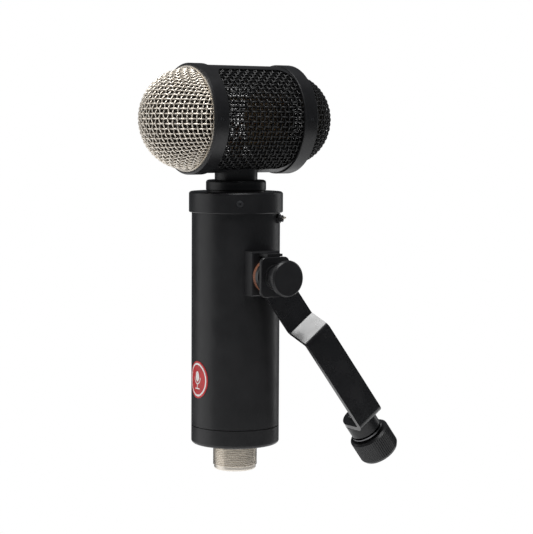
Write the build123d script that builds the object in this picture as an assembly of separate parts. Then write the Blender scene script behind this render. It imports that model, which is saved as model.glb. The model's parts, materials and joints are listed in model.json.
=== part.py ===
from build123d import *
import os
from math import cos, pi, sin, sqrt

# A two-headed studio microphone on a folding stand arm.
# Millimetres. The origin is the centre of the tail's end face. +Z runs up the
# body, -Y is the way the front grille looks, and the arm hangs on the +X side.

# ---- driving sizes ----
BODY_R = 25.0
TUBE_WALL = 1.6
TAIL_R = 12.5
TAIL_LENGTH = 15.1
BASE_TOP = 25.3
TUBE_BOTTOM = 25.7
CAP_BOTTOM = 146.6
CAP_TOP = 158.3
CAP_R = 26.6
COLLAR_TOP = 164.8
COLLAR_R = 17.0
NECK_R = 12.1
HEAD_Z = 198.8
HEAD_MID_Y = 1.2
HEAD_HALF_LENGTH = 33.9
RING_R = 30.9
RING_WIDTH = 8.9
FRAME_R = 30.1
WINDOW_HALF_HEIGHT = 27.8
FRONT_DOME_R = 28.25
FRONT_DOME_DEPTH = 26.6
REAR_DOME_R = 26.4
REAR_DOME_DEPTH = 24.0
CAPSULE_R = 17.0
PIVOT_Z = 112.5
ARM_ANGLE = 37.0
ARM_WIDTH = 18.0
ARM_THICKNESS = 2.7
ARM_INNER_X = 33.6
ARM_STEP = 9.8
STEP_START = 34.0
STEP_END = 42.0
ARM_END = 106.0
NUT_X = 32.7
NUT_R = 12.0
NUT_TOP = 117.0
NUT_BOTTOM = 132.0
STAND_THREAD_R = 7.94
SWITCH_ANGLES = {"pad": 128.0, "filter": 232.0}

# ---- smaller sizes ----
RING_LAND_R = 28.95
FRONT_BORE_R = 29.35
REAR_BORE_R = 27.5
LINER_R = 27.4
WINDOW_CORNER_R = 7.0
NECK_BORE_R = 9.5
CAP_SPIGOT = 6.0
CAPSULE_BACK = 16.5
CAPSULE_DEPTH = 9.0
LEAD_X = 5.2
LEAD_R = 0.6
SWITCH_Z = 143.4
LEVER_PIVOT_R = 26.5
BUSHING_R = 1.9
CAP_SCREW_ANGLES = (62.0, 182.0, 302.0)
CAP_SCREW_Z = 152.2
CAP_SCREW_R = 1.95
BADGE_Z = 52.8
BOARD_BOTTOM = 36.0
BOARD_TOP = 136.0
BOARD_FACE = 0.8
BARREL_BORE_R = 8.0
PIN_SPOTS = [(-3.7, 2.2), (3.7, 2.2), (0.0, -4.3)]
PIN_R = 1.2
BLOCK_FACE_X = 31.2
PLATE_X = 38.2
PLATE_THICKNESS = 2.0
KNOB_HEAD_X = 49.5
KNOB_FACE_X = 52.85
KNOB_R = 10.1
KNOB_HUB_R = 6.0
BOLT_R = 3.0
BEND_R = 1.2
JOURNAL_R = 7.5
JOURNAL_END = 121.2
GAP = 0.05
RUNNING = 0.06

# ---- worked out from the sizes above ----
TUBE_INNER_R = BODY_R - TUBE_WALL
FRONT_Y = HEAD_MID_Y - HEAD_HALF_LENGTH
REAR_Y = HEAD_MID_Y + HEAD_HALF_LENGTH
WINDOW_FRONT_Y = FRONT_Y + RING_WIDTH
WINDOW_REAR_Y = REAR_Y - RING_WIDTH
CAPSULE_FACE = CAPSULE_BACK + CAPSULE_DEPTH
ARM_OUTER_X = ARM_INNER_X + ARM_THICKNESS
KNOB_WASHER_X = PLATE_X + PLATE_THICKNESS
KNOB_HUB_X = KNOB_WASHER_X + 1.2
BRACKET_SCREW_Z = (PIVOT_Z - 8.2, PIVOT_Z + 9.5)


# ---- plain shapes ----
def block(x0, x1, y0, y1, z0, z1):
    size = Box(x1 - x0, y1 - y0, z1 - z0)
    return Pos((x0 + x1) / 2, (y0 + y1) / 2, (z0 + z1) / 2) * size


def rod_z(radius, z0, z1, x=0.0, y=0.0):
    return Pos(x, y, (z0 + z1) / 2) * Cylinder(radius, z1 - z0)


def tube_z(outer, inner, z0, z1):
    return rod_z(outer, z0, z1) - rod_z(inner, z0 - 1, z1 + 1)


def rod_x(radius, x0, x1, y=0.0, z=PIVOT_Z):
    return Pos((x0 + x1) / 2, y, z) * Rot(0, 90, 0) * Cylinder(radius, x1 - x0)


def rod_y(radius, y0, y1, x=0.0, z=HEAD_Z):
    return Pos(x, (y0 + y1) / 2, z) * Rot(90, 0, 0) * Cylinder(radius, y1 - y0)


def tube_y(outer, inner, y0, y1):
    return rod_y(outer, y0, y1) - rod_y(inner, y0 - 1, y1 + 1)


def turned_z(outline):
    """A solid turned about Z from (radius, z) points."""
    face = make_face(Plane.XZ * Polyline(*outline, close=True))
    return revolve(face, Axis.Z)


def turned_head(outline):
    """A solid turned about the head's axis from (radius, y) points."""
    face = make_face(Polyline(*outline, close=True))
    return Pos(0, 0, HEAD_Z) * revolve(face, Axis.Y)


def hexagon_x(across_flats, x0, x1, z=PIVOT_Z):
    face = Plane.YZ * RegularPolygon(across_flats / 2, 6, major_radius=False)
    return Pos(x0, 0, z) * extrude(face, x1 - x0)


def on_wall(angle, z):
    """Location on the body's axis whose +X points outwards at angle from the front."""
    return Pos(0, 0, z) * Rot(0, 0, angle - 90)


def knurled(radius, depth, count, length):
    """A cylinder along Z from 0, with straight V grooves."""
    points = []
    for step in range(2 * count):
        reach = radius if step % 2 == 0 else radius - depth
        turn = pi * step / count
        points.append((reach * cos(turn), reach * sin(turn)))
    return extrude(make_face(Polyline(*points, close=True)), length)


def group(*solids):
    return Compound(children=list(solids))


# ---- head ----
def window_prism(inset):
    """The rounded opening through both sides of the head."""
    length = WINDOW_REAR_Y - WINDOW_FRONT_Y - 2 * inset
    height = 2 * (WINDOW_HALF_HEIGHT - inset)
    outline = Plane.YZ * RectangleRounded(length, height, WINDOW_CORNER_R - inset)
    return Pos(-40, HEAD_MID_Y, HEAD_Z) * extrude(outline, 80)


def make_head_frame():
    inner = LINER_R + 0.2
    shell = tube_y(FRAME_R, inner, WINDOW_FRONT_Y + GAP, WINDOW_REAR_Y - GAP)
    spigots = tube_y(RING_LAND_R - GAP, inner, WINDOW_FRONT_Y - 3.5, WINDOW_REAR_Y + 3.5)
    frame = shell + spigots - window_prism(0)
    return frame - rod_z(8.0, HEAD_Z - 40, HEAD_Z)


def make_head_ring(face_y, side, bore):
    """An end ring; side is -1 for the front ring and +1 for the rear ring."""
    bevel, back_bevel = 0.8, 0.4
    lip_r, lip_front, lip_back = bore - 1.8, -1.9, -5.0
    outline = [
        (RING_LAND_R, -RING_WIDTH),
        (RING_R - back_bevel, -RING_WIDTH),
        (RING_R, -RING_WIDTH + back_bevel),
        (RING_R, -bevel),
        (RING_R - bevel, 0),
        (bore, 0),
        (bore, lip_front),
        (lip_r, lip_front),
        (lip_r, lip_back),
        (RING_LAND_R, lip_back),
    ]
    placed = [(radius, face_y + side * depth) for radius, depth in outline]
    ring = turned_head(placed)
    middle = face_y - side * RING_WIDTH * 0.45
    for across in (-1, 1):
        start, end = sorted((across * 28.0, across * 32.0))
        ring -= rod_x(1.25, start, end, middle, HEAD_Z)
    return ring


def make_ring_screws():
    """Four slotted screws, one on each side of each end ring."""
    screws = []
    for middle in (FRONT_Y + RING_WIDTH * 0.45, REAR_Y - RING_WIDTH * 0.45):
        for across in (-1, 1):
            screw = rod_x(1.2, *sorted((across * 29.0, across * (RING_R - 0.25))), middle, HEAD_Z)
            slot_x = sorted((across * 30.2, across * 32.0))
            screw -= block(*slot_x, middle - 0.2, middle + 0.2, HEAD_Z - 2, HEAD_Z + 2)
            screws.append(screw)
    return group(*screws)


def dome_shell(radius, depth, wall, rim_y, side):
    """Half of an ellipsoid, hollow, with its open rim at rim_y."""
    outer = dome_curve(radius, depth)
    inner = dome_curve(radius - wall, depth - wall)
    crown = Line(outer @ 1, inner @ 1)
    rim = Line(inner @ 0, outer @ 0)
    shell = revolve(make_face([outer, crown, inner, rim]), Axis.Y)
    turned = shell if side > 0 else Rot(180, 0, 0) * shell
    return Pos(0, rim_y, HEAD_Z) * turned


def dome_curve(radius, depth, steps=8):
    """A quarter of an ellipse, from the rim to the crown."""
    turns = [pi / 2 * step / steps for step in range(steps + 1)]
    points = [(radius * cos(turn), depth * sin(turn)) for turn in turns]
    points[-1] = (0, depth)
    return Spline(*points, tangents=[(0, 1), (-1, 0)])


def make_grille_rim(radius, face_y, side):
    y0, y1 = sorted((face_y + side * 0.6, face_y - side * 1.85))
    return tube_y(radius - GAP, radius - 1.0, y0, y1)


def make_side_grille(across):
    sheet = tube_y(29.6, 28.4, WINDOW_FRONT_Y + 0.1, WINDOW_REAR_Y - 0.1)
    half = block(0, 40, -60, 60, HEAD_Z - 40, HEAD_Z + 40)
    if across < 0:
        half = Rot(0, 0, 180) * half
    return sheet & window_prism(0.1) & half


def make_side_liner():
    sheet = tube_y(LINER_R, LINER_R - 0.5, WINDOW_FRONT_Y - 3.0, WINDOW_REAR_Y + 3.0)
    return sheet - rod_z(8.2, HEAD_Z - 40, HEAD_Z)


# ---- capsules ----
def spot_circle(radius, count):
    for index in range(count):
        turn = 2 * pi * index / count
        yield radius * cos(turn), HEAD_Z + radius * sin(turn)


def make_capsule_body(side):
    back = side * CAPSULE_BACK
    face = side * CAPSULE_FACE
    body = rod_y(CAPSULE_R, *sorted((back, face)))
    groove = face - side * 3.0
    return body - tube_y(CAPSULE_R + 1, CAPSULE_R - 0.8, *sorted((groove, groove - side * 1.2)))


def make_diaphragm(side):
    face = side * CAPSULE_FACE
    return rod_y(CAPSULE_R - 0.4, *sorted((face, face + side * 0.2)))


def make_clamp_ring(side):
    back = side * (CAPSULE_FACE + 0.2)
    return tube_y(CAPSULE_R, CAPSULE_R - 2.6, *sorted((back, back + side * 1.2)))


def make_capsule_screws(side):
    back = side * (CAPSULE_FACE + 1.4)
    heads = [
        rod_y(0.85, *sorted((back, back + side * 0.5)), x, z)
        for x, z in spot_circle(CAPSULE_R - 1.3, 10)
    ]
    terminal_back = side * (CAPSULE_FACE + 0.2)
    heads.append(rod_y(1.4, *sorted((terminal_back, terminal_back + side * 0.9)), 0, HEAD_Z))
    return group(*heads)


def make_capsule_carriers():
    """Two flat ties between the backs of the capsules, one high and one low."""
    reach = CAPSULE_BACK - GAP
    ties = [block(-4.2, 4.2, -reach, reach, HEAD_Z + z, HEAD_Z + z + 2) for z in (-15, 11)]
    return group(*ties)


def make_capsule_post():
    return rod_z(2.6, HEAD_Z - 21.5, HEAD_Z - 15.0)


def make_isolator():
    """Rubber foot shaped to the inside of the head."""
    puck = rod_z(10.0, HEAD_Z - 28, HEAD_Z - 21.5) & rod_y(LINER_R - 0.55, -12, 12)
    for x in (-LEAD_X, LEAD_X):
        puck -= rod_z(LEAD_R + 0.2, HEAD_Z - 30, HEAD_Z - 20, x)
    return puck


def make_capsule_lead(side):
    """One insulated wire from a capsule's back, down the neck to the board."""
    x = -side * LEAD_X
    route = FilletPolyline(
        (x, side * CAPSULE_BACK, HEAD_Z - 2),
        (x, side * 6.0, HEAD_Z - 2),
        (x, 0, HEAD_Z - 12),
        (x, 0, BOARD_TOP + 12),
        (x * 0.7, -2.2, BOARD_TOP + 3),
        (x * 0.7, -2.2, BOARD_TOP - 2),
        radius=3.0,
    )
    start = Plane(origin=route @ 0, z_dir=route % 0)
    return sweep(start * Circle(LEAD_R), path=route)


# ---- neck, collar and cap ----
def make_neck():
    neck = tube_z(NECK_R, NECK_BORE_R, CAP_TOP, HEAD_Z - 20)
    return neck - rod_y(FRAME_R, -60, 60)


def make_collar():
    outline = [
        (NECK_R + GAP, CAP_TOP),
        (COLLAR_R - 0.5, CAP_TOP),
        (COLLAR_R - 0.5, CAP_TOP + 0.6),
        (COLLAR_R, CAP_TOP + 1.0),
        (COLLAR_R, COLLAR_TOP - 1.2),
        (COLLAR_R - 0.5, COLLAR_TOP - 0.35),
        (COLLAR_R - 1.4, COLLAR_TOP),
        (NECK_R + GAP, COLLAR_TOP),
    ]
    return turned_z(outline)


def make_top_cap():
    solid = rod_z(CAP_R, CAP_BOTTOM, CAP_TOP)
    solid = fillet(solid.edges().sort_by(Axis.Z)[-1], 1.5)
    solid = chamfer(solid.edges().sort_by(Axis.Z)[0], 0.35)
    solid += rod_z(TUBE_INNER_R - GAP, CAP_BOTTOM - CAP_SPIGOT, CAP_BOTTOM)
    solid -= rod_z(TUBE_INNER_R - 2, CAP_BOTTOM - 7, CAP_TOP - 3)
    solid -= rod_z(NECK_BORE_R, CAP_BOTTOM, CAP_TOP + 1)
    for angle in CAP_SCREW_ANGLES:
        solid -= on_wall(angle, CAP_SCREW_Z) * Pos(24, 0, 0) * Rot(0, 90, 0) * Cylinder(CAP_SCREW_R + GAP, 8)
    for angle in SWITCH_ANGLES.values():
        solid -= on_wall(angle, SWITCH_Z) * block(12, 24, -3.6, 3.6, -5, 4.8)
    return solid


def make_cap_screws():
    screws = []
    for angle in CAP_SCREW_ANGLES:
        body = Pos(24.4, 0, 0) * Rot(0, 90, 0) * Cylinder(CAP_SCREW_R, 3.8)
        socket = Plane.YZ * RegularPolygon(0.75, 6, major_radius=False)
        body -= Pos(25.0, 0, 0) * extrude(socket, 3)
        screws.append(on_wall(angle, CAP_SCREW_Z) * body)
    return group(*screws)


# ---- body ----
def make_body_tube():
    tube = tube_z(BODY_R, TUBE_INNER_R, TUBE_BOTTOM, CAP_BOTTOM)
    for z in BRACKET_SCREW_Z:
        tube -= rod_x(1.6, 20, 27, 0, z)
    for angle in SWITCH_ANGLES.values():
        tube -= on_wall(angle, SWITCH_Z) * Pos(24, 0, 0) * Rot(0, 90, 0) * Cylinder(BUSHING_R + GAP, 8)
    return tube


def make_bottom_cap():
    solid = rod_z(BODY_R, TAIL_LENGTH, BASE_TOP)
    solid = fillet(solid.edges().sort_by(Axis.Z)[0], 1.8)
    solid += rod_z(TUBE_INNER_R - GAP, BASE_TOP, BASE_TOP + CAP_SPIGOT)
    solid -= rod_z(TUBE_INNER_R - 2, TAIL_LENGTH + 3.2, BASE_TOP + 7)
    return solid - rod_z(11.0, 0, BASE_TOP)


def make_tail_barrel():
    """Nickel connector shell: a smooth lip, then a fine outside thread."""
    lip_r, lip_length, pitch = 11.9, 2.4, 1.0
    outline = [(BARREL_BORE_R, 0), (lip_r - 1.0, 0), (lip_r - 0.3, 0.3)]
    outline += [(lip_r, 1.0), (lip_r, lip_length)]
    z = lip_length
    while z + pitch < TAIL_LENGTH:
        outline += [(TAIL_R - 0.45, z), (TAIL_R, z + 0.35 * pitch), (TAIL_R, z + 0.65 * pitch)]
        z += pitch
    outline += [(TAIL_R - 0.45, z), (TAIL_R - 0.45, TAIL_LENGTH - GAP)]
    outline += [(10.9, TAIL_LENGTH - GAP), (10.9, TAIL_LENGTH + 7), (BARREL_BORE_R, TAIL_LENGTH + 7)]
    return turned_z(outline)


def make_barrel_nut():
    plate_top = TAIL_LENGTH + 3.2
    face = RegularPolygon(14.0, 6, major_radius=False) - Circle(11.0)
    return Pos(0, 0, plate_top) * extrude(face, 3.0)


def make_connector_insert():
    insert = rod_z(BARREL_BORE_R - GAP, 10.8, 19.0)
    for x, y in PIN_SPOTS:
        insert -= rod_z(PIN_R, 9, 20, x, y)
    return insert


def make_contact_pins():
    pins = []
    for x, y in PIN_SPOTS:
        pin = rod_z(PIN_R, 1.8, 22.0, x, y)
        pin = fillet(pin.edges().sort_by(Axis.Z)[0], 0.9)
        pins.append(pin - rod_z(0.75, 19.5, 23, x, y))
    return group(*pins)


# ---- inside the body ----
def make_chassis_rails():
    rails = []
    for across in (-1, 1):
        x0, x1 = sorted((across * 17.4, across * 20.8))
        rail = block(x0, x1, -3, 3, BASE_TOP + CAP_SPIGOT, CAP_BOTTOM - CAP_SPIGOT)
        groove0, groove1 = sorted((across * 17.0, across * 18.6))
        rails.append(rail - block(groove0, groove1, -0.85, 0.85, 0, 200))
    return group(*rails)


def make_circuit_board():
    return block(-18.4, 18.4, -BOARD_FACE, BOARD_FACE, BOARD_BOTTOM, BOARD_TOP)


def make_transformer_core():
    core = block(-9, 9, -15.8, -BOARD_FACE, 42, 64)
    return core - block(-5.5, 5.5, -17, 0, 47, 59)


def make_transformer_coil():
    return block(-5.3, 5.3, -18.2, -BOARD_FACE, 47.2, 58.8)


def make_film_capacitors():
    boxes = []
    for index in range(3):
        z = 74 + 14 * index
        boxes.append(block(-13, -1.5, -9.8, -BOARD_FACE, z, z + 9))
    return group(*boxes)


def make_electrolytics():
    cans = []
    for x in (5.5, 12.5):
        cans.append(rod_y(2.9, -12.8, -BOARD_FACE, x, 80))
    return group(*cans)


def make_transistors():
    parts = []
    for z in (98, 108, 118):
        body = rod_z(2.4, z, z + 5, 7, -5)
        parts.append(body - block(4, 10, -9, -6.2, z - 1, z + 6))
    return group(*parts)


def make_resistors():
    parts = []
    for index in range(8):
        parts.append(rod_z(1.0, 46 + 9.5 * index, 52 + 9.5 * index, -7, 2.2))
    return group(*parts)


def make_output_leads():
    """Three wires from the foot of the board to the connector's pins."""
    leads = []
    for index, (x, y) in enumerate(PIN_SPOTS):
        board_x = -4 + 4 * index
        route = FilletPolyline(
            (x, y, 21.5), (x, y, 27), (board_x, -1.5, 33), (board_x, -1.5, 38), radius=1.8
        )
        start = Plane(origin=route @ 0, z_dir=route % 0)
        leads.append(sweep(start * Circle(0.55), path=route))
    return group(*leads)


# ---- toggle switches ----
def make_switch_body(angle):
    shell = block(14.5, TUBE_INNER_R - 0.5, -2.6, 2.6, -4.2, 4.2)
    bushing = Pos(25.2, 0, 0) * Rot(0, 90, 0) * Cylinder(BUSHING_R, 5.4)
    bore = Pos(27.0, 0, 0) * Rot(0, 90, 0) * Cylinder(1.35, 3.2)
    return on_wall(angle, SWITCH_Z) * (shell + bushing - bore)


def make_switch_nut(angle):
    face = Plane.YZ * (RegularPolygon(2.6, 6, major_radius=False) - Circle(BUSHING_R + GAP))
    return on_wall(angle, SWITCH_Z) * Pos(BODY_R + GAP, 0, 0) * extrude(face, 1.1)


def make_lever(angle):
    """The bat, standing 12 degrees above level, on its ball and cross pin."""
    bat = Pos(1.3, 0, 0) * Rot(0, 90, 0) * Cone(0.5, 0.75, 2.6)
    tip = Pos(2.6, 0, 0) * Sphere(0.75)
    pin = Rot(90, 0, 0) * Cylinder(0.45, 2.4)
    lever = Sphere(0.95) + bat + tip + pin
    return on_wall(angle, SWITCH_Z) * Pos(LEVER_PIVOT_R, 0, 0) * Rot(0, -12, 0) * lever


# ---- pivot on the side of the body ----
def make_pivot_block():
    """Machined block with a hollow back, and a tongue that stops the plate turning."""
    body = block(20, BLOCK_FACE_X, -9.3, 9.3, PIVOT_Z - 11, PIVOT_Z + 13.5)
    body = chamfer(body.faces().sort_by(Axis.X)[-1].edges(), 0.6)
    body += block(BLOCK_FACE_X - 1, 39.6, -5, 5, PIVOT_Z + 11.3, PIVOT_Z + 12.7)
    body -= rod_z(BODY_R + 0.02, 60, 160)
    body -= rod_x(BOLT_R + GAP, 20, 40)
    body -= hexagon_x(10.1, 20, 28.4)
    for z in BRACKET_SCREW_Z:
        body -= rod_x(1.5, 20, 29.5, 0, z)
    return body


def make_bracket_screws():
    screws = []
    for z in BRACKET_SCREW_Z:
        head = rod_x(2.6, 21.0, 23.2, 0, z)
        shank = rod_x(1.5 - 0.02, 23.0, 29.4, 0, z)
        screws.append(head + shank - hexagon_x(2.2, 20, 22.2, z))
    return group(*screws)


def make_pivot_bolt():
    head = hexagon_x(10.0, 25.3, 28.3)
    return head + rod_x(BOLT_R, 28.2, 49.0)


def make_washer(radius, x0, x1):
    return rod_x(radius, x0, x1) - rod_x(BOLT_R + RUNNING, x0 - 1, x1 + 1)


def make_pressure_plate():
    outline = Plane.YZ * RectangleRounded(18.6, 22.1, 3.0)
    plate = extrude(outline, PLATE_THICKNESS)
    plate = chamfer(plate.faces().sort_by(Axis.X)[-1].edges(), 0.4)
    return Pos(PLATE_X, 0, PIVOT_Z) * plate - rod_x(BOLT_R + RUNNING, 30, 50)


def make_knob():
    length = KNOB_FACE_X - KNOB_HEAD_X
    head = Rot(0, 90, 0) * knurled(KNOB_R, 0.22, 56, length)
    front = Pos(length / 2, 0, 0) * Rot(0, 90, 0) * chamfer(
        Cylinder(KNOB_R + 0.01, length).edges(), 0.9
    )
    knob = Pos(KNOB_HEAD_X, 0, PIVOT_Z) * (head & front)
    knob += rod_x(KNOB_HUB_R, KNOB_HUB_X, KNOB_HEAD_X + 0.5)
    return knob - rod_x(BOLT_R + RUNNING, 30, 50.6)


# ---- arm, worked out hanging straight down and then swung to its angle ----
def swing(solid):
    return Pos(0, 0, PIVOT_Z) * Rot(ARM_ANGLE, 0, 0) * solid


def along(distance):
    """Height of a point this far down the arm, before the arm is swung."""
    return -distance


def edges_at(solid, corners):
    """The edges along Y that stand at these (x, z) corners."""
    across = solid.edges().filter_by(Axis.Y)
    return [across.sort_by_distance((x, 0, z))[0] for x, z in corners]


def make_arm():
    low_x = ARM_INNER_X + ARM_STEP
    foot_tip = NUT_X - ARM_WIDTH / 2
    inner = [
        (ARM_INNER_X, along(-ARM_WIDTH / 2)),
        (ARM_INNER_X, along(STEP_START)),
        (low_x, along(STEP_END)),
        (low_x, along(ARM_END - ARM_THICKNESS)),
        (foot_tip, along(ARM_END - ARM_THICKNESS)),
    ]
    slope = sqrt(ARM_STEP**2 + (STEP_END - STEP_START) ** 2)
    rise = ARM_THICKNESS * (slope - ARM_STEP) / (STEP_END - STEP_START)
    outer = [
        (foot_tip, along(ARM_END)),
        (low_x + ARM_THICKNESS, along(ARM_END)),
        (low_x + ARM_THICKNESS, along(STEP_END - rise)),
        (ARM_OUTER_X, along(STEP_START - rise)),
        (ARM_OUTER_X, along(-ARM_WIDTH / 2)),
    ]
    face = Plane.XZ * make_face(Polyline(*inner, *outer, close=True))
    strap = extrude(face, ARM_WIDTH / 2, both=True)
    outside = [inner[1], outer[2], outer[1]]
    inside = [outer[3], inner[2], inner[3]]
    strap = fillet(edges_at(strap, outside), BEND_R + ARM_THICKNESS)
    strap = fillet(edges_at(strap, inside), BEND_R)
    head_keep = rod_x(ARM_WIDTH / 2, 20, 60, z=0) + block(20, 60, -9, 9, along(150), 0)
    foot_keep = rod_z(ARM_WIDTH / 2, along(150), 0, NUT_X) + block(NUT_X, 60, -9, 9, along(150), 0)
    upper = strap & head_keep & block(20, 60, -9, 9, along(60), 20)
    lower = strap & foot_keep & block(20, 60, -9, 9, along(150), along(60))
    strap = upper + lower
    strap -= rod_x(BOLT_R + RUNNING, 20, 60, z=0)
    strap -= rod_z(3.05, along(150), along(95), NUT_X)
    return swing(strap)


def make_foot_screw():
    head_base = along(ARM_END - ARM_THICKNESS - GAP)
    head = fillet(rod_z(4.6, head_base, head_base + 2.3, NUT_X).edges().sort_by(Axis.Z)[-1], 0.9)
    head -= Pos(NUT_X, 0, head_base + 1.2) * extrude(RegularPolygon(1.6, 6, major_radius=False), 3)
    return swing(head + rod_z(BOLT_R, along(ARM_END + 8), head_base, NUT_X))


def turned_on_nut_axis(points):
    outline = [(radius, along(distance)) for radius, distance in points]
    return swing(Pos(NUT_X, 0, 0) * turned_z(outline))


def make_swivel_neck():
    """Fixed sleeve under the foot, with the journal that the nut turns on."""
    points = [
        (BOLT_R + 0.02, ARM_END),
        (8.7, ARM_END),
        (9.1, ARM_END + 0.4),
        (9.1, 114.0),
        (8.7, 114.4),
        (JOURNAL_R, 114.4),
        (JOURNAL_R, 119.55),
        (6.5, 119.55),
        (6.5, 120.65),
        (JOURNAL_R, 120.65),
        (JOURNAL_R, JOURNAL_END),
        (BOLT_R + 0.02, JOURNAL_END),
    ]
    return turned_on_nut_axis(points)


def make_swivel_washer():
    ring = [(JOURNAL_R + RUNNING, 115.0), (9.5, 115.0), (9.5, 115.8), (JOURNAL_R + RUNNING, 115.8)]
    return turned_on_nut_axis(ring)


def make_snap_ring():
    ring = [(6.55, 119.6), (9.0, 119.6), (9.0, 120.6), (6.55, 120.6)]
    return turned_on_nut_axis(ring)


def make_stand_nut():
    """Knurled nut with the stand thread's bore open at the bottom."""
    length = NUT_BOTTOM - NUT_TOP
    knurl = Pos(NUT_X, 0, along(NUT_BOTTOM)) * knurled(NUT_R, 0.28, 60, length)
    shape = [
        (0, NUT_TOP),
        (NUT_R - 1.3, NUT_TOP),
        (NUT_R + 0.01, NUT_TOP + 1.2),
        (NUT_R + 0.01, NUT_BOTTOM - 1.8),
        (NUT_R - 1.0, NUT_BOTTOM),
        (0, NUT_BOTTOM),
    ]
    envelope = Pos(NUT_X, 0, 0) * turned_z([(radius, along(d)) for radius, d in shape])
    nut = knurl & envelope
    nut -= rod_z(JOURNAL_R + RUNNING, along(NUT_TOP + 5), along(NUT_TOP - 1), NUT_X)
    nut -= rod_z(9.3, along(121.4), along(119.3), NUT_X)
    nut -= rod_z(STAND_THREAD_R, along(NUT_BOTTOM + 1), along(121.3), NUT_X)
    return swing(nut)


def make_badge():
    """Plain oval plate on the front of the body, with no lettering."""
    face = Plane.XZ * Ellipse(8.4, 10.5)
    plate = Pos(0, -20, BADGE_Z) * extrude(face, 8)
    skin = tube_z(BODY_R + 0.35, BODY_R + 0.02, BADGE_Z - 20, BADGE_Z + 20)
    return plate & skin


def make_parts():
    parts = {
        "head_frame": make_head_frame(),
        "front_ring": make_head_ring(FRONT_Y, -1, FRONT_BORE_R),
        "rear_ring": make_head_ring(REAR_Y, 1, REAR_BORE_R),
        "ring_screws": make_ring_screws(),
        "front_grille_rim": make_grille_rim(FRONT_BORE_R, FRONT_Y, -1),
        "rear_grille_rim": make_grille_rim(REAR_BORE_R, REAR_Y, 1),
        "front_grille": dome_shell(FRONT_DOME_R, FRONT_DOME_DEPTH, 1.2, FRONT_Y, -1),
        "rear_grille": dome_shell(REAR_DOME_R, REAR_DOME_DEPTH, 1.2, REAR_Y, 1),
        "front_liner": dome_shell(FRONT_DOME_R - 2, FRONT_DOME_DEPTH - 2, 0.5, FRONT_Y, -1),
        "rear_liner": dome_shell(REAR_DOME_R - 2, REAR_DOME_DEPTH - 2, 0.5, REAR_Y, 1),
        "right_grille": make_side_grille(1),
        "left_grille": make_side_grille(-1),
        "side_liner": make_side_liner(),
        "capsule_carriers": make_capsule_carriers(),
        "capsule_post": make_capsule_post(),
        "rubber_isolator": make_isolator(),
        "neck": make_neck(),
        "collar": make_collar(),
        "top_cap": make_top_cap(),
        "cap_screws": make_cap_screws(),
        "body_tube": make_body_tube(),
        "bottom_cap": make_bottom_cap(),
        "badge": make_badge(),
        "tail_barrel": make_tail_barrel(),
        "barrel_nut": make_barrel_nut(),
        "connector_insert": make_connector_insert(),
        "contact_pins": make_contact_pins(),
        "chassis_rails": make_chassis_rails(),
        "circuit_board": make_circuit_board(),
        "transformer_core": make_transformer_core(),
        "transformer_coil": make_transformer_coil(),
        "film_capacitors": make_film_capacitors(),
        "electrolytic_cans": make_electrolytics(),
        "transistors": make_transistors(),
        "resistors": make_resistors(),
        "output_leads": make_output_leads(),
        "pivot_block": make_pivot_block(),
        "bracket_screws": make_bracket_screws(),
        "pivot_bolt": make_pivot_bolt(),
        "inner_friction_washer": make_washer(8.9, BLOCK_FACE_X, ARM_INNER_X - 0.1),
        "outer_friction_washer": make_washer(8.0, ARM_OUTER_X + 0.1, PLATE_X),
        "pressure_plate": make_pressure_plate(),
        "knob_washer": make_washer(7.0, KNOB_WASHER_X, KNOB_HUB_X),
        "knob": make_knob(),
        "arm": make_arm(),
        "foot_screw": make_foot_screw(),
        "swivel_neck": make_swivel_neck(),
        "swivel_washer": make_swivel_washer(),
        "snap_ring": make_snap_ring(),
        "stand_nut": make_stand_nut(),
    }
    for word, side in (("front", -1), ("rear", 1)):
        parts[word + "_capsule"] = group(make_capsule_body(side), make_diaphragm(side))
        parts[word + "_clamp_ring"] = group(make_clamp_ring(side), make_capsule_screws(side))
    parts["capsule_leads"] = group(make_capsule_lead(-1), make_capsule_lead(1))
    for word, angle in SWITCH_ANGLES.items():
        parts[word + "_lever"] = make_lever(angle)
    switches = [make_switch_body(angle) for angle in SWITCH_ANGLES.values()]
    parts["toggle_switches"] = group(*switches)
    parts["switch_nuts"] = group(*[make_switch_nut(angle) for angle in SWITCH_ANGLES.values()])
    return parts


os.makedirs("parts", exist_ok=True)
for node, shape in make_parts().items():
    export_step(shape, "parts/" + node + ".step")
    print(node, round(shape.volume, 1))
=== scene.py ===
import json
from math import acos, asin, cos, hypot, pi, radians, sin, sqrt

import bpy
from bpy.props import FloatProperty, FloatVectorProperty, PointerProperty
from mathutils import Matrix, Vector


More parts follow.
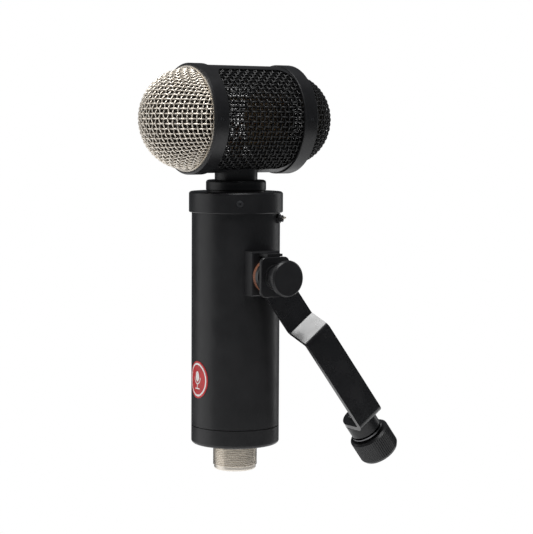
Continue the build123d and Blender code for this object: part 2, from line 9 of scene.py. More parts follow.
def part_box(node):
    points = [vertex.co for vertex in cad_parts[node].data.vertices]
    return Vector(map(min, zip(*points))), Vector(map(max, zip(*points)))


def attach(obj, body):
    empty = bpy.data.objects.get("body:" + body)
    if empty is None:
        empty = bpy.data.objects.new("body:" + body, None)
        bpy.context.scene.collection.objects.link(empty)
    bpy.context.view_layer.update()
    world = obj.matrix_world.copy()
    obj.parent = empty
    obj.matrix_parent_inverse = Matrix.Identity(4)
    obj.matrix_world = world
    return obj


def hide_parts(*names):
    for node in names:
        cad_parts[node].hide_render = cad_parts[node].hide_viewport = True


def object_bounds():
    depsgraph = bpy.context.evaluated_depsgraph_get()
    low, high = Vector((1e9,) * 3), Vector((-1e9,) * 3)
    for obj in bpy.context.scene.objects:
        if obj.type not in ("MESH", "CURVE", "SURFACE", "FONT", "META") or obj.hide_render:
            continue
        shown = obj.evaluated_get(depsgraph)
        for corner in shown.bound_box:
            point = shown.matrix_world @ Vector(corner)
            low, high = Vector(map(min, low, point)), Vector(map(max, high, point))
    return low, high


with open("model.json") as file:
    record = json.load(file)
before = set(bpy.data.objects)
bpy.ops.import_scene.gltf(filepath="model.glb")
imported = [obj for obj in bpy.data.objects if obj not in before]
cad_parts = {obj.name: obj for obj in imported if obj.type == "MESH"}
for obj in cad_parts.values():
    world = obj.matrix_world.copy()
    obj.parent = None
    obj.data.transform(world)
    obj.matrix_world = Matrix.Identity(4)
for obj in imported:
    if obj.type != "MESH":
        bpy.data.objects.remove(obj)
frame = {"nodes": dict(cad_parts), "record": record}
CAD_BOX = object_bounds()

bl_info = {
    "name": "Studio Microphone",
    "version": (1, 0, 0),
    "blender": (4, 5, 0),
    "location": "View3D > Sidebar > Microphone",
    "description": "Woven grilles, finishes and a studio for a two-sided microphone",
    "category": "Add Mesh",
}

# ---- places read from the frame, in metres ----
RING_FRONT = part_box("front_ring")
RING_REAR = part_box("rear_ring")
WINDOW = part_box("right_grille")
DOME_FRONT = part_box("front_grille")
DOME_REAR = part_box("rear_grille")
HEAD_Z = (DOME_FRONT[0].z + DOME_FRONT[1].z) / 2
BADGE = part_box("badge")

# ---- the meshes' own sizes, in metres ----
WINDOW_CORNER = 0.007
WINDOW_SHEET_R = 0.0290
LINER_SHEET_R = 0.02715
LINER_OVERLAP = 0.0008
SHEET_LIMIT = 0.985
DOME_TUCK = 0.0014


# ---- sizes and colours that a user may change ----
class MicrophoneSizes(bpy.types.PropertyGroup):
    wire_pitch: FloatProperty(
        name="Wire pitch",
        description="Spacing of the outer grille's wires",
        default=0.00275,
        min=0.001,
        unit="LENGTH",
    )
    wire_radius: FloatProperty(
        name="Wire radius",
        description="Radius of the outer grille's wires",
        default=0.00041,
        min=0.0001,
        unit="LENGTH",
    )
    liner_pitch: FloatProperty(
        name="Liner pitch",
        description="Spacing of the fine mesh behind the windows",
        default=0.0011,
        min=0.0005,
        unit="LENGTH",
    )
    liner_radius: FloatProperty(
        name="Liner wire radius",
        description="Radius of the fine wires behind the windows",
        default=0.00019,
        min=0.00005,
        unit="LENGTH",
    )
    gauze_pitch: FloatProperty(
        name="Gauze pitch",
        description="Spacing of the dark gauze inside the two domes",
        default=0.0008,
        min=0.0005,
        unit="LENGTH",
    )
    gauze_radius: FloatProperty(
        name="Gauze wire radius",
        description="Radius of the dark gauze's wires",
        default=0.0003,
        min=0.00005,
        unit="LENGTH",
    )
    floor_drop: FloatProperty(
        name="Floor drop",
        description="How far the floor lies below the lowest point",
        default=0.35,
        min=0.0,
        unit="LENGTH",
    )


class MicrophoneColours(bpy.types.PropertyGroup):
    anodised: FloatVectorProperty(
        name="Anodised black",
        description="Colour of the body, head frame and knob",
        subtype="COLOR",
        size=3,
        min=0.0,
        max=1.0,
        default=(0.0105, 0.0105, 0.0115),
    )
    lacquer: FloatVectorProperty(
        name="Lacquered black",
        description="Colour of the stand arm",
        subtype="COLOR",
        size=3,
        min=0.0,
        max=1.0,
        default=(0.009, 0.009, 0.010),
    )
    nickel: FloatVectorProperty(
        name="Nickel",
        description="Colour of the front grille's wires and the connector barrel",
        subtype="COLOR",
        size=3,
        min=0.0,
        max=1.0,
        default=(0.80, 0.745, 0.665),
    )
    badge: FloatVectorProperty(
        name="Badge red",
        description="Colour of the oval badge",
        subtype="COLOR",
        size=3,
        min=0.0,
        max=1.0,
        default=(0.58, 0.028, 0.032),
    )
    fibre: FloatVectorProperty(
        name="Fibre brown",
        description="Colour of the friction washer behind the arm",
        subtype="COLOR",
        size=3,
        min=0.0,
        max=1.0,
        default=(0.20, 0.075, 0.038),
    )


def sizes():
    return bpy.context.scene.microphone_sizes


def colours():
    return bpy.context.scene.microphone_colours


# ---- small helpers ----
def deselect():
    if bpy.context.object and bpy.context.object.mode != "OBJECT":
        bpy.ops.object.mode_set(mode="OBJECT")
    bpy.ops.object.select_all(action="DESELECT")


def keep_wires(grid, wire_of):
    """Deletes a grid's faces and cross edges, so that only its parallel wires are left."""
    bpy.ops.object.mode_set(mode="EDIT")
    bpy.ops.mesh.select_mode(type="EDGE")
    bpy.ops.mesh.select_all(action="DESELECT")
    bpy.ops.object.mode_set(mode="OBJECT")
    for edge in grid.data.edges:
        first, second = edge.vertices
        edge.select = wire_of[first] != wire_of[second]
    bpy.ops.object.mode_set(mode="EDIT")
    bpy.ops.mesh.delete(type="EDGE")
    bpy.ops.object.mode_set(mode="OBJECT")


def wire_set(wires, samples, place, radius, roundness):
    """Round wires in one mesh: a grid's lines are laid out by place(wire, t) with t from 0 to 1."""
    deselect()
    bpy.ops.mesh.primitive_grid_add(x_subdivisions=samples, y_subdivisions=len(wires) - 1, size=2)
    grid = bpy.context.object
    wire_of = []
    for vertex in grid.data.vertices:
        index = round((vertex.co.y + 1) / 2 * (len(wires) - 1))
        wire_of.append(index)
        vertex.co = place(wires[index], (vertex.co.x + 1) / 2)
    keep_wires(grid, wire_of)
    bpy.ops.object.convert(target="CURVE")
    grid.data.bevel_depth = radius
    grid.data.bevel_resolution = roundness
    grid.data.use_fill_caps = True
    bpy.ops.object.convert(target="MESH")
    bpy.ops.object.shade_smooth()
    return bpy.context.object


def weave(name, sets, samples, radius, roundness):
    """One sheet of mesh: its two crossing sets of wires, each given with its place function."""
    made = [wire_set(wires, samples, place, radius, roundness) for wires, place in sets]
    deselect()
    for part in made:
        part.select_set(True)
    bpy.context.view_layer.objects.active = made[0]
    bpy.ops.object.join()
    piece = bpy.context.object
    piece.name = name
    piece.data.name = name
    return piece


def settle(piece, body, slot, *nodes):
    """Dresses a finished piece and hangs it on its body in place of its CAD nodes."""
    piece.data.materials.clear()
    piece.data.materials.append(finish(slot))
    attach(piece, body)
    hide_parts(*nodes)


# ---- the net of a square mesh pressed over a ball ----
def next_knot(left, below, corner, step):
    """The knot one wire step from both neighbours, on the far side from the corner."""
    middle = (left + below).normalized()
    share = cos(step) / left.dot(middle)
    if abs(share) >= 1:
        return None
    away = left.cross(below).normalized()
    if away.dot(corner) > 0:
        away = -away
    turn = acos(share)
    return middle * cos(turn) + away * sin(turn)


def quarter_net(step, lowest):
    """Knots of one quarter, from the crown along +X and +Z, down to the lowest level."""
    count = int(acos(lowest) / step) + 2
    net = {}
    for i in range(count):
        net[i, 0] = Vector((sin(i * step), cos(i * step), 0))
        net[0, i] = Vector((0, cos(i * step), sin(i * step)))
    for i in range(1, count):
        for j in range(1, count):
            near = [net.get(key) for key in ((i - 1, j), (i, j - 1), (i - 1, j - 1))]
            if None in near or min(knot.y for knot in near) < lowest:
                continue
            knot = next_knot(*near, step)
            if knot is not None:
                net[i, j] = knot
    return net


def net_wires(net):
    """For each wire of one direction, its knots from the middle outwards."""
    reach = max(i for i, _ in net)
    wires = {}
    for i in range(reach + 1):
        knots = []
        while (i, len(knots)) in net:
            knots.append(net[i, len(knots)])
        if len(knots) > 1:
            wires[i] = knots
    return wires


def trimmed_length(knots, lowest):
    """How many steps along the knots the wire stays above the lowest level."""
    for index in range(1, len(knots)):
        above, below = knots[index - 1].y, knots[index].y
        if below < lowest:
            return index - 1 + (above - lowest) / (above - below)
    return len(knots) - 1.0


def between(knots, along):
    """A point this many steps along a smooth curve through the knots, kept on the ball."""
    index = min(int(along), len(knots) - 2)
    part = along - index
    before = knots[max(index - 1, 0)] if index else mirrored(knots[1], knots[0])
    a, b = knots[index], knots[index + 1]
    after = knots[min(index + 2, len(knots) - 1)]
    square, cube = part * part, part * part * part
    point = 0.5 * (
        2 * a
        + (b - before) * part
        + (2 * before - 5 * a + 4 * b - after) * square
        + (3 * a - before - 3 * b + after) * cube
    )
    return point.normalized()


def mirrored(knot, centre):
    """The knot before the middle one, which lies on the other side of the crown's plane."""
    upright = centre.x == 0 or abs(centre.x) < abs(centre.z)
    across = Vector((1, 0, 0)) if upright else Vector((0, 0, 1))
    return knot - 2 * across * (knot - centre).dot(across)


class Dome:
    """The middle surface of a wire dome: half an ellipsoid, with its rim in an end ring."""

    def __init__(self, box, rim_y, side, wire):
        self.radius = (box[1].x - box[0].x) / 2 - 2 * wire
        self.depth = box[1].y - box[0].y - 2 * wire
        self.rim_y = rim_y
        self.side = side
        self.wire = wire
        self.lowest = -DOME_TUCK / self.radius

    def spot(self, knot, lift):
        """A knot's place on the dome, this far above its middle surface.

        Below the rim the dome runs straight on into its end ring.
        """
        level = max(knot.y, 0.0)
        if knot.y < 0:
            flat = hypot(knot.x, knot.z)
            knot = Vector((knot.x / flat, knot.y, knot.z / flat))
        place = Vector((knot.x * self.radius, knot.y * self.depth, knot.z * self.radius))
        normal = Vector((knot.x / self.radius, level / self.depth, knot.z / self.radius))
        place += normal.normalized() * lift
        return Vector((place.x, self.rim_y + self.side * place.y, HEAD_Z + place.z))

    def wires(self, pitch):
        """Every wire of one direction: its number, its side, its knots and its length."""
        found = []
        for number, knots in net_wires(quarter_net(pitch / self.radius, self.lowest)).items():
            length = trimmed_length(knots, self.lowest)
            for sign in (1, -1) if number else (1,):
                found.append((number, sign, knots, length))
        return found

    def rising(self, entry, t):
        """A knot along one wire, and how far it weaves over or under the other wires."""
        number, sign, knots, length = entry
        along = (2 * t - 1) * length
        knot = between(knots, abs(along))
        knot = Vector((sign * knot.x, knot.y, knot.z if along >= 0 else -knot.z))
        over = cos(pi * along) * (1 if number % 2 == 0 else -1)
        return knot, over * self.wire

    def upright(self, entry, t):
        knot, lift = self.rising(entry, t)
        return self.spot(knot, lift)

    def level(self, entry, t):
        knot, lift = self.rising(entry, t)
        return self.spot(Vector((knot.z, knot.y, knot.x)), -lift)


def dome_weave(name, dome, pitch, roundness, per_cell):
    """A square mesh pressed into a dome: its wires keep their spacing and shear at the corners."""
    wires = dome.wires(pitch)
    longest = max(length for _, _, _, length in wires)
    sets = [(wires, dome.upright), (wires, dome.level)]
    return weave(name, sets, int(2 * longest * per_cell), dome.wire, roundness)


# ---- the flat mesh rolled into the head's windows ----
def window_reach(edge, other_edge, level):
    """Half the window's opening along one way, at this level the other way."""
    straight = other_edge - WINDOW_CORNER
    if abs(level) <= straight:
        return edge
    drop = abs(level) - straight
    return edge - WINDOW_CORNER + sqrt(max(WINDOW_CORNER**2 - drop**2, 0.0))


class Sheet:
    """A mesh rolled round the head's axis and cut to the window's rounded outline.

    Its edges stop a little short of the head's crown and floor, where an arc has no height left.
    """

    def __init__(self, across, sheet_r, grow, pitch, wire):
        self.across = across
        self.sheet_r = sheet_r
        self.pitch = pitch
        self.wire = wire
        self.middle_y = (WINDOW[0].y + WINDOW[1].y) / 2
        self.half_y = (WINDOW[1].y - WINDOW[0].y) / 2 + grow
        self.half_z = min((WINDOW[1].z - WINDOW[0].z) / 2 + grow, sheet_r * SHEET_LIMIT)
        self.half_arc = self.arc_at(self.half_z)

    def arc_at(self, height):
        return asin(height / self.sheet_r) * self.sheet_r

    def spot(self, y, arc, over):
        """A place on the sheet; over is 1 or -1 for the two directions of wire."""
        lift = over * self.wire * sin(pi * y / self.pitch) * sin(pi * arc / self.pitch)
        reach = self.sheet_r + lift
        turn = arc / self.sheet_r
        side = self.across * reach * cos(turn)
        return Vector((side, self.middle_y + y, HEAD_Z + reach * sin(turn)))

    def lines(self, half):
        count = int(half / self.pitch)
        return [(index + 0.5) * self.pitch for index in range(-count, count)]

    def lengthwise(self, arc, t):
        height = self.sheet_r * sin(arc / self.sheet_r)
        y = (2 * t - 1) * window_reach(self.half_y, self.half_z, height)
        return self.spot(y, arc, 1)

    def around(self, y, t):
        arc = (2 * t - 1) * self.arc_at(window_reach(self.half_z, self.half_y, y))
        return self.spot(y, arc, -1)


def side_weave(name, sheet, roundness, per_cell):
    sets = [
        (sheet.lines(sheet.half_arc), sheet.lengthwise),
        (sheet.lines(sheet.half_y), sheet.around),
    ]
    samples = int(2 * sheet.half_arc / sheet.pitch * per_cell)
    return weave(name, sets, samples, sheet.wire, roundness)


# ---- shader building ----
class Shader:
    """One procedural material, with the few node patterns that the finishes share."""

    def __init__(self, name, colour, roughness, metallic=0.0):
        self.material = bpy.data.materials.new(name)
        self.material.use_nodes = True
        self.tree = self.material.node_tree
        self.base = self.tree.nodes["Principled BSDF"]
        self.base.inputs["Base Color"].default_value = (*colour, 1)
        self.base.inputs["Roughness"].default_value = roughness
        self.base.inputs["Metallic"].default_value = metallic
        self.place = self.add("ShaderNodeTexCoord").outputs["Object"]

    def add(self, kind, **settings):
        node = self.tree.nodes.new(kind)
        for key, value in settings.items():
            setattr(node, key, value)
        return node

    def link(self, output, target):
        self.tree.links.new(output, target)

    def mapped(self, stretch):
        node = self.add("ShaderNodeMapping")
        node.inputs["Scale"].default_value = stretch
        self.link(self.place, node.inputs["Vector"])
        return node.outputs["Vector"]

    def noise(self, scale, detail=3.0, stretch=(1, 1, 1)):
        node = self.add("ShaderNodeTexNoise")
        node.inputs["Scale"].default_value = scale
        node.inputs["Detail"].default_value = detail
        self.link(self.mapped(stretch), node.inputs["Vector"])
        return node.outputs["Fac"]

    def axis(self, letter, shift=0.0):
        node = self.add("ShaderNodeSeparateXYZ")
        self.link(self.place, node.inputs["Vector"])
        return self.math("ADD", node.outputs[letter], shift)

    def math(self, operation, first, second=0.0):
        node = self.add("ShaderNodeMath", operation=operation)
        for socket, value in zip(node.inputs, (first, second)):
            if isinstance(value, (int, float)):
                socket.default_value = value
            else:
                self.link(value, socket)
        return node.outputs["Value"]

    def spread(self, value, low, high, start=0.3, end=0.7):
        node = self.add("ShaderNodeMapRange")
        node.inputs["From Min"].default_value = start
        node.inputs["From Max"].default_value = end
        node.inputs["To Min"].default_value = low
        node.inputs["To Max"].default_value = high
        self.link(value, node.inputs["Value"])
        return node.outputs["Result"]

    def blend(self, share, first, second):
        node = self.add("ShaderNodeMix", data_type="RGBA")
        for socket, value in ((node.inputs[6], first), (node.inputs[7], second)):
            if isinstance(value, tuple):
                socket.default_value = (*value, 1)
            else:
                self.link(value, socket)
        self.link(share, node.inputs[0])
        return node.outputs[2]

    def colour(self, output):
        self.link(output, self.base.inputs["Base Color"])

    def vary_colour(self, first, second, scale, detail=4.0, stretch=(1, 1, 1)):
        share = self.spread(self.noise(scale, detail, stretch), 0, 1)
        self.colour(self.blend(share, first, second))

    def vary_roughness(self, low, high, scale, stretch=(1, 1, 1)):
        value = self.spread(self.noise(scale, 4.0, stretch), low, high)
        self.link(value, self.base.inputs["Roughness"])

    def bump(self, height, distance, strength=0.5):
        node = self.add("ShaderNodeBump")
        node.inputs["Distance"].default_value = distance
        node.inputs["Strength"].default_value = strength
        self.link(height, node.inputs["Height"])
        self.link(node.outputs["Normal"], self.base.inputs["Normal"])


def shade(colour, factor):
    return tuple(min(channel * factor, 1.0) for channel in colour)


# ---- finishes ----
def black_anodised(name):
    tint = tuple(colours().anodised)
    made = Shader(name, tint, roughness=0.36)
    made.vary_colour(shade(tint, 0.8), shade(tint, 1.35), scale=45)
    made.vary_roughness(0.32, 0.43, scale=120)
    made.bump(made.noise(5200, detail=2.0), distance=0.00002, strength=0.35)
    made.base.inputs["Specular IOR Level"].default_value = 0.42
    return made.material


def black_gloss(name):
    tint = tuple(colours().lacquer)
    made = Shader(name, tint, roughness=0.25)
    made.vary_colour(shade(tint, 0.8), shade(tint, 1.3), scale=60)
    made.vary_roughness(0.20, 0.32, scale=90)
    made.bump(made.noise(1400, detail=2.0), distance=0.00002, strength=0.25)
    made.base.inputs["Coat Weight"].default_value = 0.25
    made.base.inputs["Coat Roughness"].default_value = 0.12
    return made.material


def wire_nickel(name):
    tint = tuple(colours().nickel)
    made = Shader(name, tint, roughness=0.45, metallic=1.0)
    made.vary_colour(shade(tint, 0.98), shade(tint, 1.22), scale=260)
    made.vary_roughness(0.42, 0.56, scale=700)
    made.bump(made.noise(4200, detail=2.0), distance=0.00001, strength=0.15)
    return made.material


def wire_black(name):
    tint = (0.006, 0.006, 0.0065)
    made = Shader(name, tint, roughness=0.42)
    made.vary_colour(shade(tint, 0.8), shade(tint, 1.5), scale=300)
    made.vary_roughness(0.38, 0.52, scale=800)
    made.bump(made.noise(3800, detail=2.0), distance=0.00001, strength=0.2)
    return made.material


def turned_nickel(name):
    tint = tuple(colours().nickel)
    made = Shader(name, tint, roughness=0.3, metallic=1.0)
    made.vary_colour(shade(tint, 0.90), shade(tint, 1.06), scale=90)
    made.vary_roughness(0.32, 0.44, scale=140)
    made.bump(made.noise(3000, detail=2.0), distance=0.00001, strength=0.15)
    return made.material


def plain_metal(name, tint, low, high):
    made = Shader(name, tint, (low + high) / 2, 1.0)
    made.vary_colour(shade(tint, 0.8), shade(tint, 1.15), scale=240)
    made.vary_roughness(low, high, scale=320)
    made.bump(made.noise(2600, detail=2.0), distance=0.00002, strength=0.3)
    return made.material


def steel(name):
    return plain_metal(name, (0.52, 0.52, 0.53), 0.25, 0.45)


def black_steel(name):
    return plain_metal(name, (0.16, 0.16, 0.165), 0.28, 0.42)


def brass(name):
    return plain_metal(name, (0.76, 0.52, 0.22), 0.22, 0.40)


def aged_brass(name):
    return plain_metal(name, (0.20, 0.135, 0.07), 0.32, 0.50)


def gauze(name):
    return plain_metal(name, (0.085, 0.075, 0.062), 0.45, 0.62)


def gold_film(name):
    return plain_metal(name, (0.86, 0.60, 0.26), 0.16, 0.30)


def fibre(name):
    tint = tuple(colours().fibre)
    made = Shader(name, tint, roughness=0.6)
    made.vary_colour(shade(tint, 0.6), shade(tint, 1.4), scale=700, stretch=(6, 1, 1))
    made.vary_roughness(0.5, 0.72, scale=400)
    made.bump(made.noise(2400, detail=4.0, stretch=(5, 1, 1)), distance=0.00006, strength=0.6)
    return made.material


def soft_black(name, roughness):
    tint = (0.014, 0.014, 0.015)
    made = Shader(name, tint, roughness)
    made.vary_colour(shade(tint, 0.75), shade(tint, 1.4), scale=180)
    made.vary_roughness(roughness - 0.08, roughness + 0.08, scale=300)
    made.bump(made.noise(2200, detail=3.0), distance=0.00004, strength=0.4)
    return made.material


def rubber(name):
    return soft_black(name, 0.8)


def black_plastic(name):
    return soft_black(name, 0.45)


def board_green(name):
    made = Shader(name, (0.02, 0.12, 0.05), roughness=0.4)
    weave_pattern = made.noise(1500, detail=2.0, stretch=(1, 1, 0.2))
    tracks = made.spread(made.noise(140, detail=0.0, stretch=(1, 1, 0.12)), 0, 1, 0.49, 0.51)
    share = made.spread(weave_pattern, 0, 1)
    laminate = made.blend(share, (0.015, 0.10, 0.04), (0.03, 0.15, 0.06))
    made.colour(made.blend(tracks, laminate, (0.03, 0.20, 0.08)))
    made.bump(tracks, distance=0.00005, strength=0.5)
    return made.material


def lamination(name):
    made = Shader(name, (0.2, 0.2, 0.21), roughness=0.45, metallic=0.8)
    sheets = made.noise(500, detail=1.0, stretch=(0.01, 6, 0.01))
    share = made.spread(sheets, 0, 1, 0.4, 0.6)
    made.colour(made.blend(share, (0.10, 0.10, 0.11), (0.32, 0.32, 0.33)))
    made.bump(sheets, distance=0.0001, strength=0.6)
    return made.material


def glossy(name, tint):
    made = Shader(name, tint, roughness=0.3)
    made.vary_colour(shade(tint, 0.8), shade(tint, 1.2), scale=150)
    made.vary_roughness(0.24, 0.4, scale=260)
    made.bump(made.noise(900, detail=2.0), distance=0.00004, strength=0.3)
    return made.material


def winding_tape(name):
    return glossy(name, (0.62, 0.42, 0.08))


def capacitor_red(name):
    return glossy(name, (0.45, 0.05, 0.03))


def can_sleeve(name):
    return glossy(name, (0.03, 0.04, 0.16))


BANDS_PER_METRE = 640.0
BAND_SHARE = 0.35


def resistor_blue(name):
    made = Shader(name, (0.16, 0.36, 0.48), roughness=0.4)
    bands = made.math("FRACT", made.math("MULTIPLY", made.axis("Z"), BANDS_PER_METRE))
    banded = made.math("LESS_THAN", bands, BAND_SHARE)
    made.colour(made.blend(banded, (0.16, 0.36, 0.48), (0.30, 0.10, 0.03)))
    made.bump(made.noise(1200, detail=2.0), distance=0.00004, strength=0.3)
    return made.material


def wire_orange(name):
    return glossy(name, (0.20, 0.08, 0.03))


class BadgeShader(Shader):
    """Red enamel whose drawing is placed from the badge's middle."""

    def __init__(self, name, tint):
        super().__init__(name, tint, 0.32)
        middle = (BADGE[0] + BADGE[1]) / 2
        self.x = self.axis("X", -middle.x)
        self.z = self.axis("Z", -middle.z)

    def oval(self, half_x, half_z, middle_z=0.0):
        """1 on an oval's edge, less inside it and more outside."""
        across = self.math("POWER", self.math("DIVIDE", self.x, half_x), 2.0)
        height = self.math("SUBTRACT", self.z, middle_z)
        up = self.math("POWER", self.math("DIVIDE", height, half_z), 2.0)
        return self.math("SQRT", self.math("ADD", across, up))

    def band(self, value, low, high):
        above = self.math("GREATER_THAN", value, low)
        return self.math("MULTIPLY", above, self.math("LESS_THAN", value, high))

    def bar(self, half_x, low, high):
        inside = self.math("LESS_THAN", self.math("ABSOLUTE", self.x), half_x)
        return self.math("MULTIPLY", inside, self.band(self.z, low, high))

    def drawing(self):
        """White parts: the border, then a microphone's head, cradle, stem and foot."""
        half_x = (BADGE[1].x - BADGE[0].x) / 2
        half_z = (BADGE[1].z - BADGE[0].z) / 2
        head = self.math("LESS_THAN", self.oval(0.0017, 0.0029, 0.0019), 1.0)
        ring = self.band(self.oval(0.0031, 0.0042, 0.0016), 0.84, 1.0)
        cradle = self.math("MULTIPLY", ring, self.math("LESS_THAN", self.z, 0.0014))
        stem = self.bar(0.00028, -0.0048, -0.0026)
        foot = self.bar(0.0021, -0.0053, -0.0047)
        white = self.band(self.oval(half_x, half_z), 0.80, 0.90)
        for piece in (head, cradle, stem, foot):
            white = self.math("MAXIMUM", white, piece)
        return white


def badge_red(name):
    """Red enamel with a white oval line and a plain drawing of a microphone."""
    tint = tuple(colours().badge)
    made = BadgeShader(name, tint)
    white = made.drawing()
    mottle = made.spread(made.noise(220, detail=3.0), 0, 1)
    enamel = made.blend(mottle, shade(tint, 0.8), shade(tint, 1.15))
    made.colour(made.blend(white, enamel, (0.90, 0.89, 0.87)))
    made.vary_roughness(0.26, 0.40, scale=300)
    made.bump(white, distance=0.00006, strength=0.5)
    return made.material


FINISHES = {
    "black_anodised": black_anodised,
    "black_gloss": black_gloss,
    "nickel_mesh": wire_nickel,
    "black_mesh": wire_black,
    "nickel": turned_nickel,
    "steel": steel,
    "black_steel": black_steel,
    "brass": brass,
    "aged_brass": aged_brass,
    "gauze": gauze,
    "gold_film": gold_film,
    "fibre": fibre,
    "rubber": rubber,
    "board_green": board_green,
    "lamination": lamination,
    "winding_tape": winding_tape,
    "capacitor_red": capacitor_red,
    "can_sleeve": can_sleeve,
    "black_plastic": black_plastic,
    "resistor_blue": resistor_blue,
    "wire_orange": wire_orange,
    "badge_red": badge_red,
}


def finish(slot):
    """The material of a slot, made the first time it is asked for."""
    name = "finish_" + slot
    return bpy.data.materials.get(name) or FINISHES[slot](name)


# ---- operators ----
class MICROPHONE_OT_domes(bpy.types.Operator):
    """Weave the bright front dome and the black rear dome"""

    bl_idname = "microphone.domes"
    bl_label = "Weave the domes"

    def execute(self, context):
        size = sizes()
        for word, box, ring_y, side, slot in (
            ("front", DOME_FRONT, RING_FRONT[0].y, -1, "nickel_mesh"),
            ("rear", DOME_REAR, RING_REAR[1].y, 1, "black_mesh"),
        ):
            dome = Dome(box, ring_y, side, size.wire_radius)
            piece = dome_weave(word + "_wire_dome", dome, size.wire_pitch, roundness=1, per_cell=5)
            settle(piece, "microphone", slot, word + "_grille")
        return {"FINISHED"}


class MICROPHONE_OT_dome_liners(bpy.types.Operator):
    """Weave the fine mesh inside each dome"""

    bl_idname = "microphone.dome_liners"
    bl_label = "Line the domes"

    def execute(self, context):
        size = sizes()
        for word, ring_y, side in (("front", RING_FRONT[0].y, -1), ("rear", RING_REAR[1].y, 1)):
            dome = Dome(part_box(word + "_liner"), ring_y, side, size.gauze_radius)
            piece = dome_weave(word + "_fine_dome", dome, size.gauze_pitch, roundness=0, per_cell=1)
            settle(piece, "microphone", "gauze", word + "_liner")
        return {"FINISHED"}


class MICROPHONE_OT_windows(bpy.types.Operator):
    """Weave the black meshes in the head's two windows"""

    bl_idname = "microphone.windows"
    bl_label = "Weave the windows"

    def execute(self, context):
        size = sizes()
        for word, across in (("right", 1), ("left", -1)):
            sheet = Sheet(across, WINDOW_SHEET_R, 0.0, size.wire_pitch, size.wire_radius)
            piece = side_weave(word + "_wire_window", sheet, roundness=1, per_cell=5)
            settle(piece, "microphone", "black_mesh", word + "_grille")
        return {"FINISHED"}


class MICROPHONE_OT_window_liners(bpy.types.Operator):
    """Weave the fine black mesh behind the windows"""

    bl_idname = "microphone.window_liners"
    bl_label = "Line the windows"

    def execute(self, context):
        size = sizes()
        for word, across in (("right", 1), ("left", -1)):
            sheet = Sheet(across, LINER_SHEET_R, LINER_OVERLAP, size.liner_pitch, size.liner_radius)
            piece = side_weave(word + "_fine_window", sheet, roundness=0, per_cell=2)
            settle(piece, "microphone", "black_mesh", "side_liner")
        return {"FINISHED"}


class MICROPHONE_OT_finishes(bpy.types.Operator):
    """Give every CAD node the finish of its material slot"""

    bl_idname = "microphone.finishes"
    bl_label = "Finish the turned and machined parts"

    def execute(self, context):
        for part in frame["record"]["subparts"]:
            node = frame["nodes"][part["node"]]
            node.data.materials.clear()
            node.data.materials.append(finish(part["material_slot"]))
        return {"FINISHED"}


# ---- the studio ----
MIDDLE = (0, 0, 0.13)
SOFTBOXES = (
    # name, place, width, height, watts
    ("overhead", (0.20, -0.20, 1.15), 0.55, 0.50, 11.6),
    ("left_wall", (-0.65, -1.00, 0.20), 1.2, 1.8, 5.8),
    ("right_rim", (-0.15, 1.20, 0.30), 0.3, 1.0, 1.2),
)
ROOM_COLOUR = (0.80, 0.84, 0.90, 1)
ROOM_STRENGTH = 0.10
WHITE = (1, 1, 1, 1)
FLOOR_RADIUS = 1.3
FLOOR_GLOW = (0.42, 1.0)
FLOOR_FADE = (0.3, FLOOR_RADIUS - 0.05)
CAMERA_PLACE = Vector((0.8304, -0.5379, 0.19574))
CAMERA_TURN = radians(57.073)
CAMERA_PAN = radians(1.018)
CAMERA_PITCH = radians(4.644)
CAMERA_ROLL = radians(0.318)
CAMERA_LENS = 117.98


def camera_axes():
    """The camera's right, up and forward directions."""
    heading = CAMERA_TURN - CAMERA_PAN
    level = Vector((-sin(heading), cos(heading), 0))
    forward = level * cos(CAMERA_PITCH) + Vector((0, 0, -sin(CAMERA_PITCH)))
    right = forward.cross(Vector((0, 0, 1))).normalized()
    up = right.cross(forward)
    turned = right * cos(CAMERA_ROLL) + up * sin(CAMERA_ROLL)
    raised = -right * sin(CAMERA_ROLL) + up * cos(CAMERA_ROLL)
    return turned, raised, forward


def add_camera():
    right, up, forward = camera_axes()
    deselect()
    bpy.ops.object.camera_add()
    camera = bpy.context.object
    camera.name = "camera"
    camera.matrix_world = Matrix(
        (
            (right.x, up.x, -forward.x, CAMERA_PLACE.x),
            (right.y, up.y, -forward.y, CAMERA_PLACE.y),
            (right.z, up.z, -forward.z, CAMERA_PLACE.z),
            (0, 0, 0, 1),
        )
    )
    camera.data.lens = CAMERA_LENS
    camera.data.sensor_width = 36.0
    camera.data.clip_start = 0.01
    bpy.context.scene.camera = camera


def add_softbox(name, place, width, height, power):
    deselect()
    bpy.ops.object.light_add(type="AREA", location=place)
    light = bpy.context.object
    light.name = name
    light.data.shape = "RECTANGLE"
    light.data.size = width
    light.data.size_y = height
    light.data.energy = power
    aim = Vector(MIDDLE) - Vector(place)
    light.rotation_euler = aim.to_track_quat("-Z", "Y").to_euler()


def add_world():
    """Dim, even light for the object, and plain white where the camera looks past it."""
    world = bpy.data.worlds.new("studio")
    bpy.context.scene.world = world
    world.use_nodes = True
    tree = world.node_tree
    output = tree.nodes["World Output"]
    lighting = tree.nodes["Background"]
    lighting.inputs["Color"].default_value = ROOM_COLOUR
    lighting.inputs["Strength"].default_value = ROOM_STRENGTH
    seen = tree.nodes.new("ShaderNodeBackground")
    seen.inputs["Color"].default_value = WHITE
    seen.inputs["Strength"].default_value = 1.0
    path = tree.nodes.new("ShaderNodeLightPath")
    mix = tree.nodes.new("ShaderNodeMixShader")
    tree.links.new(path.outputs["Is Camera Ray"], mix.inputs["Fac"])
    tree.links.new(lighting.outputs["Background"], mix.inputs[1])
    tree.links.new(seen.outputs["Background"], mix.inputs[2])
    tree.links.new(mix.outputs["Shader"], output.inputs["Surface"])


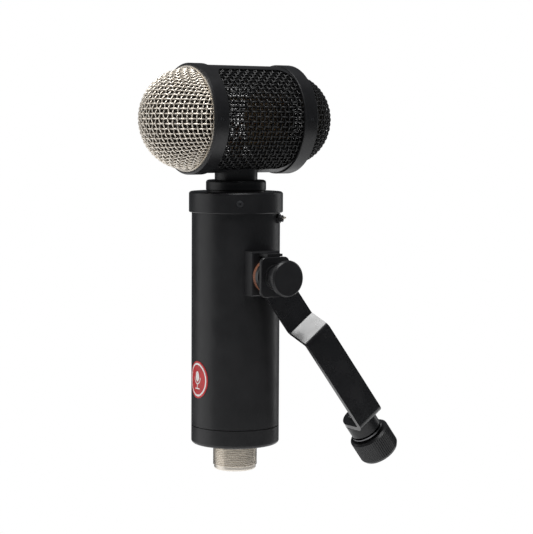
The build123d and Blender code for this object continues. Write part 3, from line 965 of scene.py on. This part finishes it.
def add_floor():
    """Pale paper that grows brighter towards its rim, so that it runs into the white."""
    deselect()
    low = CAD_BOX[0].z - sizes().floor_drop
    bpy.ops.mesh.primitive_circle_add(
        vertices=96, radius=FLOOR_RADIUS, fill_type="NGON", location=(0, 0, low)
    )
    floor = bpy.context.object
    floor.name = "floor"
    made = Shader("floor_paper", (0.90, 0.90, 0.90), roughness=0.9)
    made.vary_colour((0.88, 0.88, 0.88), (0.92, 0.92, 0.92), scale=3)
    made.base.inputs["Emission Color"].default_value = WHITE
    squares = (made.math("POWER", made.axis(letter), 2.0) for letter in "XY")
    distance = made.math("SQRT", made.math("ADD", *squares))
    glow = made.spread(distance, *FLOOR_GLOW, *FLOOR_FADE)
    made.link(glow, made.base.inputs["Emission Strength"])
    floor.data.materials.append(made.material)


class MICROPHONE_OT_stage(bpy.types.Operator):
    """Add the floor, the soft lights and the camera"""

    bl_idname = "microphone.stage"
    bl_label = "Set up the studio"

    def execute(self, context):
        add_floor()
        add_world()
        for softbox in SOFTBOXES:
            add_softbox(*softbox)
        add_camera()
        bpy.context.scene.view_settings.view_transform = "Standard"
        return {"FINISHED"}


class MICROPHONE_PT_panel(bpy.types.Panel):
    """Lists the microphone's pieces in the 3D view's sidebar"""

    bl_idname = "MICROPHONE_PT_panel"
    bl_label = "Studio Microphone"
    bl_space_type = "VIEW_3D"
    bl_region_type = "UI"
    bl_category = "Microphone"

    def draw(self, context):
        layout = self.layout
        for step in STEPS:
            layout.operator(step.bl_idname)
        for group in (sizes(), colours()):
            for name in group.bl_rna.properties.keys():
                if name not in ("rna_type", "name"):
                    layout.prop(group, name)


STEPS = (
    MICROPHONE_OT_finishes,
    MICROPHONE_OT_domes,
    MICROPHONE_OT_dome_liners,
    MICROPHONE_OT_windows,
    MICROPHONE_OT_window_liners,
    MICROPHONE_OT_stage,
)
CLASSES = (MicrophoneSizes, MicrophoneColours, *STEPS, MICROPHONE_PT_panel)


def register():
    for entry in CLASSES:
        bpy.utils.register_class(entry)
    bpy.types.Scene.microphone_sizes = PointerProperty(type=MicrophoneSizes)
    bpy.types.Scene.microphone_colours = PointerProperty(type=MicrophoneColours)


def unregister():
    del bpy.types.Scene.microphone_colours
    del bpy.types.Scene.microphone_sizes
    for entry in reversed(CLASSES):
        bpy.utils.unregister_class(entry)


def main():
    register()
    bpy.ops.microphone.finishes()
    bpy.ops.microphone.domes()
    bpy.ops.microphone.dome_liners()
    bpy.ops.microphone.windows()
    bpy.ops.microphone.window_liners()
    bpy.ops.microphone.stage()


if __name__ == "__main__":
    main()
